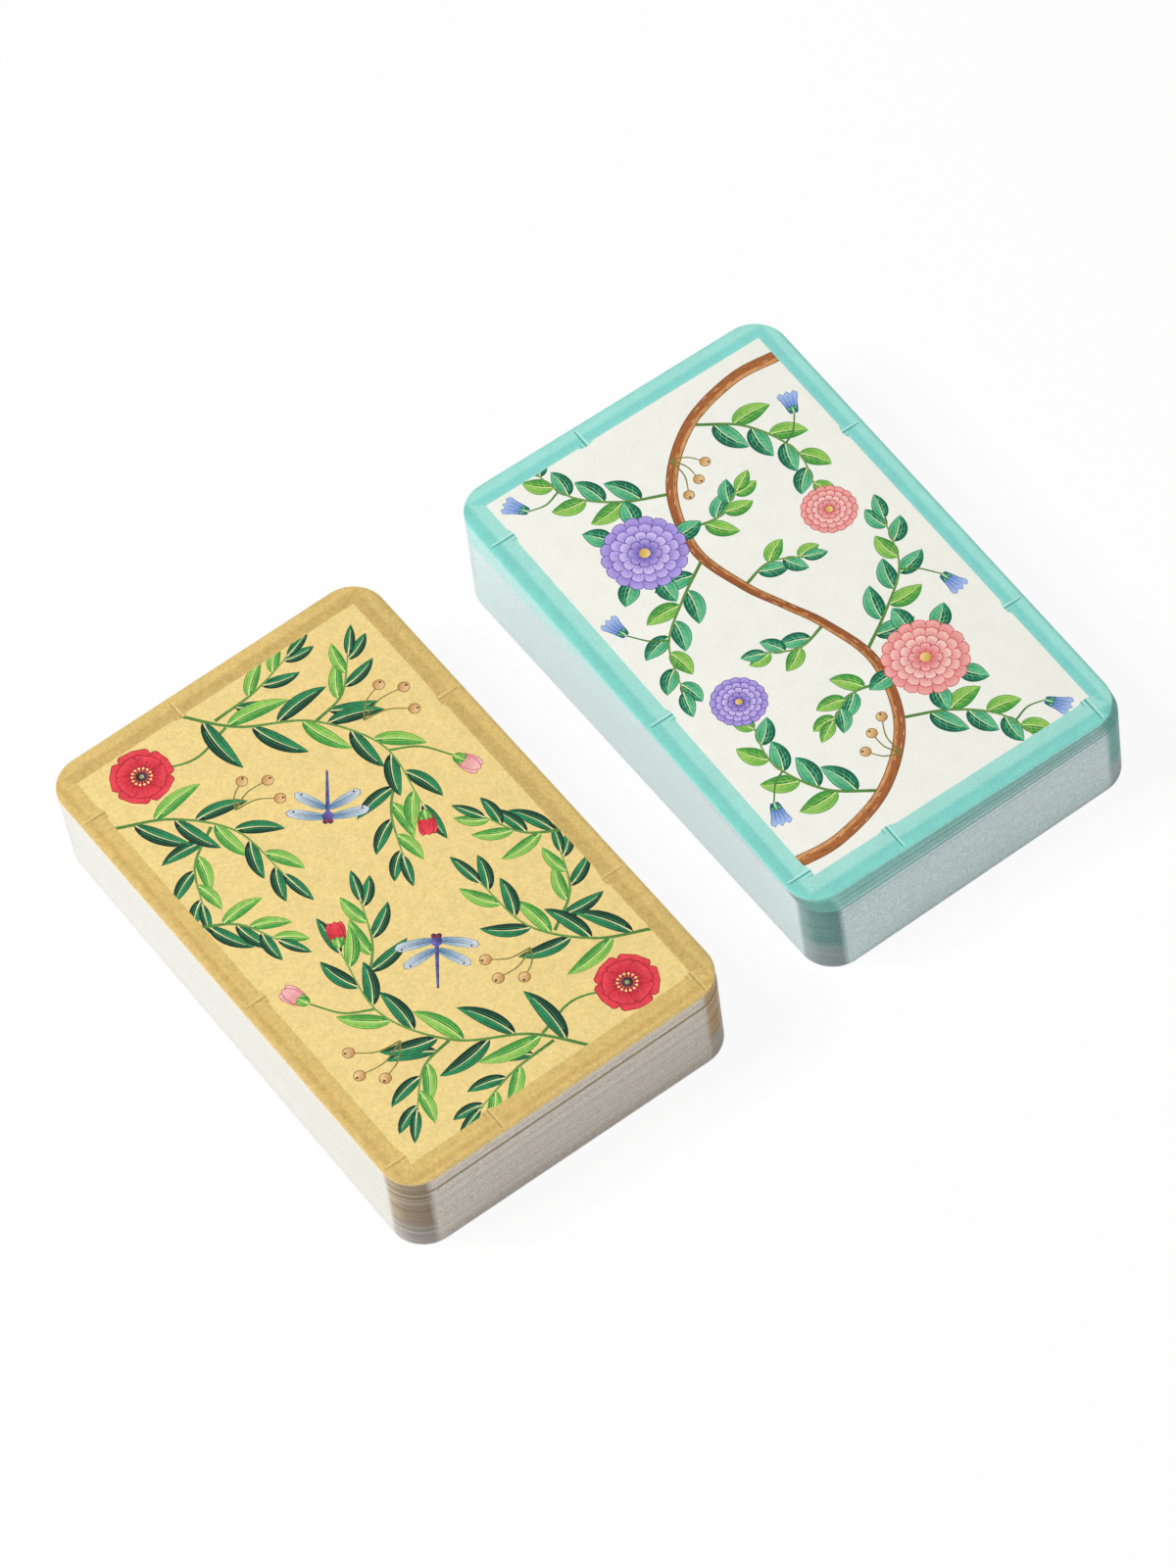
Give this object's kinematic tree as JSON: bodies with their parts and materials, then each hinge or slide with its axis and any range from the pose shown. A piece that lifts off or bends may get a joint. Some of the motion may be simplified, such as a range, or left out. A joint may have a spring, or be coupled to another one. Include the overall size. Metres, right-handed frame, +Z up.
{
  "type": "playing card deck",
  "caption": "Bridge-size playing card decks lying back-up side by side; the cards fan out round a corner, the top card slides off and the upper packet cuts away.",
  "frame": {"origin": "middle of the set's outline, on the table", "axes": "+X along the cards' short sides, from the gold deck to the turquoise one; +Y along their long sides, away from the viewer; +Z up, out of the card backs"},
  "size_m": [0.1316, 0.0916, 0.0162],
  "materials": {
    "gold_card_stock": "coated card stock, printed back in gold tones, bare paper edges",
    "teal_card_stock": "coated card stock, printed back with a turquoise border, bare paper edges"
  },
  "bodies": {
    "gold_lower_packet": {"gold_lower_packet": "gold_card_stock"},
    "gold_upper_packet": {"gold_upper_packet": "gold_card_stock"},
    "gold_card_27": {"gold_card_27": "gold_card_stock"},
    "gold_card_28": {"gold_card_28": "gold_card_stock"},
    "gold_card_29": {"gold_card_29": "gold_card_stock"},
    "gold_card_30": {"gold_card_30": "gold_card_stock"},
    "gold_card_31": {"gold_card_31": "gold_card_stock"},
    "gold_card_32": {"gold_card_32": "gold_card_stock"},
    "gold_card_33": {"gold_card_33": "gold_card_stock"},
    "gold_card_34": {"gold_card_34": "gold_card_stock"},
    "gold_card_35": {"gold_card_35": "gold_card_stock"},
    "gold_card_36": {"gold_card_36": "gold_card_stock"},
    "gold_card_37": {"gold_card_37": "gold_card_stock"},
    "gold_card_38": {"gold_card_38": "gold_card_stock"},
    "gold_card_39": {"gold_card_39": "gold_card_stock"},
    "gold_card_40": {"gold_card_40": "gold_card_stock"},
    "gold_card_41": {"gold_card_41": "gold_card_stock"},
    "gold_card_42": {"gold_card_42": "gold_card_stock"},
    "gold_card_43": {"gold_card_43": "gold_card_stock"},
    "gold_card_44": {"gold_card_44": "gold_card_stock"},
    "gold_card_45": {"gold_card_45": "gold_card_stock"},
    "gold_card_46": {"gold_card_46": "gold_card_stock"},
    "gold_card_47": {"gold_card_47": "gold_card_stock"},
    "gold_card_48": {"gold_card_48": "gold_card_stock"},
    "gold_card_49": {"gold_card_49": "gold_card_stock"},
    "gold_card_50": {"gold_card_50": "gold_card_stock"},
    "gold_card_51": {"gold_card_51": "gold_card_stock"},
    "gold_card_52": {"gold_card_52": "gold_card_stock"},
    "gold_card_53": {"gold_card_53": "gold_card_stock"},
    "gold_card_54": {"gold_card_54": "gold_card_stock"},
    "teal_lower_packet": {"teal_lower_packet": "teal_card_stock"},
    "teal_upper_packet": {"teal_upper_packet": "teal_card_stock"},
    "teal_card_27": {"teal_card_27": "teal_card_stock"},
    "teal_card_28": {"teal_card_28": "teal_card_stock"},
    "teal_card_29": {"teal_card_29": "teal_card_stock"},
    "teal_card_30": {"teal_card_30": "teal_card_stock"},
    "teal_card_31": {"teal_card_31": "teal_card_stock"},
    "teal_card_32": {"teal_card_32": "teal_card_stock"},
    "teal_card_33": {"teal_card_33": "teal_card_stock"},
    "teal_card_34": {"teal_card_34": "teal_card_stock"},
    "teal_card_35": {"teal_card_35": "teal_card_stock"},
    "teal_card_36": {"teal_card_36": "teal_card_stock"},
    "teal_card_37": {"teal_card_37": "teal_card_stock"},
    "teal_card_38": {"teal_card_38": "teal_card_stock"},
    "teal_card_39": {"teal_card_39": "teal_card_stock"},
    "teal_card_40": {"teal_card_40": "teal_card_stock"},
    "teal_card_41": {"teal_card_41": "teal_card_stock"},
    "teal_card_42": {"teal_card_42": "teal_card_stock"},
    "teal_card_43": {"teal_card_43": "teal_card_stock"},
    "teal_card_44": {"teal_card_44": "teal_card_stock"},
    "teal_card_45": {"teal_card_45": "teal_card_stock"},
    "teal_card_46": {"teal_card_46": "teal_card_stock"},
    "teal_card_47": {"teal_card_47": "teal_card_stock"},
    "teal_card_48": {"teal_card_48": "teal_card_stock"},
    "teal_card_49": {"teal_card_49": "teal_card_stock"},
    "teal_card_50": {"teal_card_50": "teal_card_stock"},
    "teal_card_51": {"teal_card_51": "teal_card_stock"},
    "teal_card_52": {"teal_card_52": "teal_card_stock"},
    "teal_card_53": {"teal_card_53": "teal_card_stock"},
    "teal_card_54": {"teal_card_54": "teal_card_stock"}
  },
  "joints": [
    {"name": "gold_cut", "type": "slide", "parent": "gold_lower_packet", "child": "gold_upper_packet", "axis": [0, -1, 0], "range_m": [0, 0.04]},
    {"name": "gold_fan", "type": "hinge", "parent": "gold_upper_packet", "child": "gold_card_53", "pos_m": [-0.02019, -0.03337, 0], "axis": [0, 0, 1], "range_deg": [0, 108]},
    {"name": "gold_fan_52", "type": "hinge", "parent": "gold_upper_packet", "child": "gold_card_52", "pos_m": [-0.02019, -0.03337, 0], "axis": [0, 0, 1], "range_deg": [0, 104]},
    {"name": "gold_fan_51", "type": "hinge", "parent": "gold_upper_packet", "child": "gold_card_51", "pos_m": [-0.02019, -0.03337, 0], "axis": [0, 0, 1], "range_deg": [0, 100]},
    {"name": "gold_fan_50", "type": "hinge", "parent": "gold_upper_packet", "child": "gold_card_50", "pos_m": [-0.02019, -0.03337, 0], "axis": [0, 0, 1], "range_deg": [0, 96]},
    {"name": "gold_fan_49", "type": "hinge", "parent": "gold_upper_packet", "child": "gold_card_49", "pos_m": [-0.02019, -0.03337, 0], "axis": [0, 0, 1], "range_deg": [0, 92]},
    {"name": "gold_fan_48", "type": "hinge", "parent": "gold_upper_packet", "child": "gold_card_48", "pos_m": [-0.02019, -0.03337, 0], "axis": [0, 0, 1], "range_deg": [0, 88]},
    {"name": "gold_fan_47", "type": "hinge", "parent": "gold_upper_packet", "child": "gold_card_47", "pos_m": [-0.02019, -0.03337, 0], "axis": [0, 0, 1], "range_deg": [0, 84]},
    {"name": "gold_fan_46", "type": "hinge", "parent": "gold_upper_packet", "child": "gold_card_46", "pos_m": [-0.02019, -0.03337, 0], "axis": [0, 0, 1], "range_deg": [0, 80]},
    {"name": "gold_fan_45", "type": "hinge", "parent": "gold_upper_packet", "child": "gold_card_45", "pos_m": [-0.02019, -0.03337, 0], "axis": [0, 0, 1], "range_deg": [0, 76]},
    {"name": "gold_fan_44", "type": "hinge", "parent": "gold_upper_packet", "child": "gold_card_44", "pos_m": [-0.02019, -0.03337, 0], "axis": [0, 0, 1], "range_deg": [0, 72]},
    {"name": "gold_fan_43", "type": "hinge", "parent": "gold_upper_packet", "child": "gold_card_43", "pos_m": [-0.02019, -0.03337, 0], "axis": [0, 0, 1], "range_deg": [0, 68]},
    {"name": "gold_fan_42", "type": "hinge", "parent": "gold_upper_packet", "child": "gold_card_42", "pos_m": [-0.02019, -0.03337, 0], "axis": [0, 0, 1], "range_deg": [0, 64]},
    {"name": "gold_fan_41", "type": "hinge", "parent": "gold_upper_packet", "child": "gold_card_41", "pos_m": [-0.02019, -0.03337, 0], "axis": [0, 0, 1], "range_deg": [0, 60]},
    {"name": "gold_fan_40", "type": "hinge", "parent": "gold_upper_packet", "child": "gold_card_40", "pos_m": [-0.02019, -0.03337, 0], "axis": [0, 0, 1], "range_deg": [0, 56]},
    {"name": "gold_fan_39", "type": "hinge", "parent": "gold_upper_packet", "child": "gold_card_39", "pos_m": [-0.02019, -0.03337, 0], "axis": [0, 0, 1], "range_deg": [0, 52]},
    {"name": "gold_fan_38", "type": "hinge", "parent": "gold_upper_packet", "child": "gold_card_38", "pos_m": [-0.02019, -0.03337, 0], "axis": [0, 0, 1], "range_deg": [0, 48]},
    {"name": "gold_fan_37", "type": "hinge", "parent": "gold_upper_packet", "child": "gold_card_37", "pos_m": [-0.02019, -0.03337, 0], "axis": [0, 0, 1], "range_deg": [0, 44]},
    {"name": "gold_fan_36", "type": "hinge", "parent": "gold_upper_packet", "child": "gold_card_36", "pos_m": [-0.02019, -0.03337, 0], "axis": [0, 0, 1], "range_deg": [0, 40]},
    {"name": "gold_fan_35", "type": "hinge", "parent": "gold_upper_packet", "child": "gold_card_35", "pos_m": [-0.02019, -0.03337, 0], "axis": [0, 0, 1], "range_deg": [0, 36]},
    {"name": "gold_fan_34", "type": "hinge", "parent": "gold_upper_packet", "child": "gold_card_34", "pos_m": [-0.02019, -0.03337, 0], "axis": [0, 0, 1], "range_deg": [0, 32]},
    {"name": "gold_fan_33", "type": "hinge", "parent": "gold_upper_packet", "child": "gold_card_33", "pos_m": [-0.02019, -0.03337, 0], "axis": [0, 0, 1], "range_deg": [0, 28]},
    {"name": "gold_fan_32", "type": "hinge", "parent": "gold_upper_packet", "child": "gold_card_32", "pos_m": [-0.02019, -0.03337, 0], "axis": [0, 0, 1], "range_deg": [0, 24]},
    {"name": "gold_fan_31", "type": "hinge", "parent": "gold_upper_packet", "child": "gold_card_31", "pos_m": [-0.02019, -0.03337, 0], "axis": [0, 0, 1], "range_deg": [0, 20]},
    {"name": "gold_fan_30", "type": "hinge", "parent": "gold_upper_packet", "child": "gold_card_30", "pos_m": [-0.02019, -0.03337, 0], "axis": [0, 0, 1], "range_deg": [0, 16]},
    {"name": "gold_fan_29", "type": "hinge", "parent": "gold_upper_packet", "child": "gold_card_29", "pos_m": [-0.02019, -0.03337, 0], "axis": [0, 0, 1], "range_deg": [0, 12]},
    {"name": "gold_fan_28", "type": "hinge", "parent": "gold_upper_packet", "child": "gold_card_28", "pos_m": [-0.02019, -0.03337, 0], "axis": [0, 0, 1], "range_deg": [0, 8]},
    {"name": "gold_fan_27", "type": "hinge", "parent": "gold_upper_packet", "child": "gold_card_27", "pos_m": [-0.02019, -0.03337, 0], "axis": [0, 0, 1], "range_deg": [0, 4]},
    {"name": "gold_deal", "type": "slide", "parent": "gold_card_53", "child": "gold_card_54", "axis": [0, 1, 0], "range_m": [0, 0.04]},
    {"name": "teal_deck_slide", "type": "slide", "parent": "gold_lower_packet", "child": "teal_lower_packet", "axis": [1, 0, 0], "range_m": [0, 0.1]},
    {"name": "teal_cut", "type": "slide", "parent": "teal_lower_packet", "child": "teal_upper_packet", "axis": [0, -1, 0], "range_m": [0, 0.04]},
    {"name": "teal_fan", "type": "hinge", "parent": "teal_upper_packet", "child": "teal_card_53", "pos_m": [0.01971, -0.03301, 0], "axis": [0, 0, -1], "range_deg": [0, 108]},
    {"name": "teal_fan_52", "type": "hinge", "parent": "teal_upper_packet", "child": "teal_card_52", "pos_m": [0.01971, -0.03301, 0], "axis": [0, 0, -1], "range_deg": [0, 104]},
    {"name": "teal_fan_51", "type": "hinge", "parent": "teal_upper_packet", "child": "teal_card_51", "pos_m": [0.01971, -0.03301, 0], "axis": [0, 0, -1], "range_deg": [0, 100]},
    {"name": "teal_fan_50", "type": "hinge", "parent": "teal_upper_packet", "child": "teal_card_50", "pos_m": [0.01971, -0.03301, 0], "axis": [0, 0, -1], "range_deg": [0, 96]},
    {"name": "teal_fan_49", "type": "hinge", "parent": "teal_upper_packet", "child": "teal_card_49", "pos_m": [0.01971, -0.03301, 0], "axis": [0, 0, -1], "range_deg": [0, 92]},
    {"name": "teal_fan_48", "type": "hinge", "parent": "teal_upper_packet", "child": "teal_card_48", "pos_m": [0.01971, -0.03301, 0], "axis": [0, 0, -1], "range_deg": [0, 88]},
    {"name": "teal_fan_47", "type": "hinge", "parent": "teal_upper_packet", "child": "teal_card_47", "pos_m": [0.01971, -0.03301, 0], "axis": [0, 0, -1], "range_deg": [0, 84]},
    {"name": "teal_fan_46", "type": "hinge", "parent": "teal_upper_packet", "child": "teal_card_46", "pos_m": [0.01971, -0.03301, 0], "axis": [0, 0, -1], "range_deg": [0, 80]},
    {"name": "teal_fan_45", "type": "hinge", "parent": "teal_upper_packet", "child": "teal_card_45", "pos_m": [0.01971, -0.03301, 0], "axis": [0, 0, -1], "range_deg": [0, 76]},
    {"name": "teal_fan_44", "type": "hinge", "parent": "teal_upper_packet", "child": "teal_card_44", "pos_m": [0.01971, -0.03301, 0], "axis": [0, 0, -1], "range_deg": [0, 72]},
    {"name": "teal_fan_43", "type": "hinge", "parent": "teal_upper_packet", "child": "teal_card_43", "pos_m": [0.01971, -0.03301, 0], "axis": [0, 0, -1], "range_deg": [0, 68]},
    {"name": "teal_fan_42", "type": "hinge", "parent": "teal_upper_packet", "child": "teal_card_42", "pos_m": [0.01971, -0.03301, 0], "axis": [0, 0, -1], "range_deg": [0, 64]},
    {"name": "teal_fan_41", "type": "hinge", "parent": "teal_upper_packet", "child": "teal_card_41", "pos_m": [0.01971, -0.03301, 0], "axis": [0, 0, -1], "range_deg": [0, 60]},
    {"name": "teal_fan_40", "type": "hinge", "parent": "teal_upper_packet", "child": "teal_card_40", "pos_m": [0.01971, -0.03301, 0], "axis": [0, 0, -1], "range_deg": [0, 56]},
    {"name": "teal_fan_39", "type": "hinge", "parent": "teal_upper_packet", "child": "teal_card_39", "pos_m": [0.01971, -0.03301, 0], "axis": [0, 0, -1], "range_deg": [0, 52]},
    {"name": "teal_fan_38", "type": "hinge", "parent": "teal_upper_packet", "child": "teal_card_38", "pos_m": [0.01971, -0.03301, 0], "axis": [0, 0, -1], "range_deg": [0, 48]},
    {"name": "teal_fan_37", "type": "hinge", "parent": "teal_upper_packet", "child": "teal_card_37", "pos_m": [0.01971, -0.03301, 0], "axis": [0, 0, -1], "range_deg": [0, 44]},
    {"name": "teal_fan_36", "type": "hinge", "parent": "teal_upper_packet", "child": "teal_card_36", "pos_m": [0.01971, -0.03301, 0], "axis": [0, 0, -1], "range_deg": [0, 40]},
    {"name": "teal_fan_35", "type": "hinge", "parent": "teal_upper_packet", "child": "teal_card_35", "pos_m": [0.01971, -0.03301, 0], "axis": [0, 0, -1], "range_deg": [0, 36]},
    {"name": "teal_fan_34", "type": "hinge", "parent": "teal_upper_packet", "child": "teal_card_34", "pos_m": [0.01971, -0.03301, 0], "axis": [0, 0, -1], "range_deg": [0, 32]},
    {"name": "teal_fan_33", "type": "hinge", "parent": "teal_upper_packet", "child": "teal_card_33", "pos_m": [0.01971, -0.03301, 0], "axis": [0, 0, -1], "range_deg": [0, 28]},
    {"name": "teal_fan_32", "type": "hinge", "parent": "teal_upper_packet", "child": "teal_card_32", "pos_m": [0.01971, -0.03301, 0], "axis": [0, 0, -1], "range_deg": [0, 24]},
    {"name": "teal_fan_31", "type": "hinge", "parent": "teal_upper_packet", "child": "teal_card_31", "pos_m": [0.01971, -0.03301, 0], "axis": [0, 0, -1], "range_deg": [0, 20]},
    {"name": "teal_fan_30", "type": "hinge", "parent": "teal_upper_packet", "child": "teal_card_30", "pos_m": [0.01971, -0.03301, 0], "axis": [0, 0, -1], "range_deg": [0, 16]},
    {"name": "teal_fan_29", "type": "hinge", "parent": "teal_upper_packet", "child": "teal_card_29", "pos_m": [0.01971, -0.03301, 0], "axis": [0, 0, -1], "range_deg": [0, 12]},
    {"name": "teal_fan_28", "type": "hinge", "parent": "teal_upper_packet", "child": "teal_card_28", "pos_m": [0.01971, -0.03301, 0], "axis": [0, 0, -1], "range_deg": [0, 8]},
    {"name": "teal_fan_27", "type": "hinge", "parent": "teal_upper_packet", "child": "teal_card_27", "pos_m": [0.01971, -0.03301, 0], "axis": [0, 0, -1], "range_deg": [0, 4]},
    {"name": "teal_deal", "type": "slide", "parent": "teal_card_53", "child": "teal_card_54", "axis": [0, 1, 0], "range_m": [0, 0.04]}
  ],
  "couplings": [
    {"joint": "gold_fan_52", "follows": "gold_fan", "ratio": 0.96296},
    {"joint": "gold_fan_51", "follows": "gold_fan", "ratio": 0.92593},
    {"joint": "gold_fan_50", "follows": "gold_fan", "ratio": 0.88889},
    {"joint": "gold_fan_49", "follows": "gold_fan", "ratio": 0.85185},
    {"joint": "gold_fan_48", "follows": "gold_fan", "ratio": 0.81481},
    {"joint": "gold_fan_47", "follows": "gold_fan", "ratio": 0.77778},
    {"joint": "gold_fan_46", "follows": "gold_fan", "ratio": 0.74074},
    {"joint": "gold_fan_45", "follows": "gold_fan", "ratio": 0.7037},
    {"joint": "gold_fan_44", "follows": "gold_fan", "ratio": 0.66667},
    {"joint": "gold_fan_43", "follows": "gold_fan", "ratio": 0.62963},
    {"joint": "gold_fan_42", "follows": "gold_fan", "ratio": 0.59259},
    {"joint": "gold_fan_41", "follows": "gold_fan", "ratio": 0.55556},
    {"joint": "gold_fan_40", "follows": "gold_fan", "ratio": 0.51852},
    {"joint": "gold_fan_39", "follows": "gold_fan", "ratio": 0.48148},
    {"joint": "gold_fan_38", "follows": "gold_fan", "ratio": 0.44444},
    {"joint": "gold_fan_37", "follows": "gold_fan", "ratio": 0.40741},
    {"joint": "gold_fan_36", "follows": "gold_fan", "ratio": 0.37037},
    {"joint": "gold_fan_35", "follows": "gold_fan", "ratio": 0.33333},
    {"joint": "gold_fan_34", "follows": "gold_fan", "ratio": 0.2963},
    {"joint": "gold_fan_33", "follows": "gold_fan", "ratio": 0.25926},
    {"joint": "gold_fan_32", "follows": "gold_fan", "ratio": 0.22222},
    {"joint": "gold_fan_31", "follows": "gold_fan", "ratio": 0.18519},
    {"joint": "gold_fan_30", "follows": "gold_fan", "ratio": 0.14815},
    {"joint": "gold_fan_29", "follows": "gold_fan", "ratio": 0.11111},
    {"joint": "gold_fan_28", "follows": "gold_fan", "ratio": 0.074074},
    {"joint": "gold_fan_27", "follows": "gold_fan", "ratio": 0.037037},
    {"joint": "teal_fan_52", "follows": "teal_fan", "ratio": 0.96296},
    {"joint": "teal_fan_51", "follows": "teal_fan", "ratio": 0.92593},
    {"joint": "teal_fan_50", "follows": "teal_fan", "ratio": 0.88889},
    {"joint": "teal_fan_49", "follows": "teal_fan", "ratio": 0.85185},
    {"joint": "teal_fan_48", "follows": "teal_fan", "ratio": 0.81481},
    {"joint": "teal_fan_47", "follows": "teal_fan", "ratio": 0.77778},
    {"joint": "teal_fan_46", "follows": "teal_fan", "ratio": 0.74074},
    {"joint": "teal_fan_45", "follows": "teal_fan", "ratio": 0.7037},
    {"joint": "teal_fan_44", "follows": "teal_fan", "ratio": 0.66667},
    {"joint": "teal_fan_43", "follows": "teal_fan", "ratio": 0.62963},
    {"joint": "teal_fan_42", "follows": "teal_fan", "ratio": 0.59259},
    {"joint": "teal_fan_41", "follows": "teal_fan", "ratio": 0.55556},
    {"joint": "teal_fan_40", "follows": "teal_fan", "ratio": 0.51852},
    {"joint": "teal_fan_39", "follows": "teal_fan", "ratio": 0.48148},
    {"joint": "teal_fan_38", "follows": "teal_fan", "ratio": 0.44444},
    {"joint": "teal_fan_37", "follows": "teal_fan", "ratio": 0.40741},
    {"joint": "teal_fan_36", "follows": "teal_fan", "ratio": 0.37037},
    {"joint": "teal_fan_35", "follows": "teal_fan", "ratio": 0.33333},
    {"joint": "teal_fan_34", "follows": "teal_fan", "ratio": 0.2963},
    {"joint": "teal_fan_33", "follows": "teal_fan", "ratio": 0.25926},
    {"joint": "teal_fan_32", "follows": "teal_fan", "ratio": 0.22222},
    {"joint": "teal_fan_31", "follows": "teal_fan", "ratio": 0.18519},
    {"joint": "teal_fan_30", "follows": "teal_fan", "ratio": 0.14815},
    {"joint": "teal_fan_29", "follows": "teal_fan", "ratio": 0.11111},
    {"joint": "teal_fan_28", "follows": "teal_fan", "ratio": 0.074074},
    {"joint": "teal_fan_27", "follows": "teal_fan", "ratio": 0.037037}
  ]
}
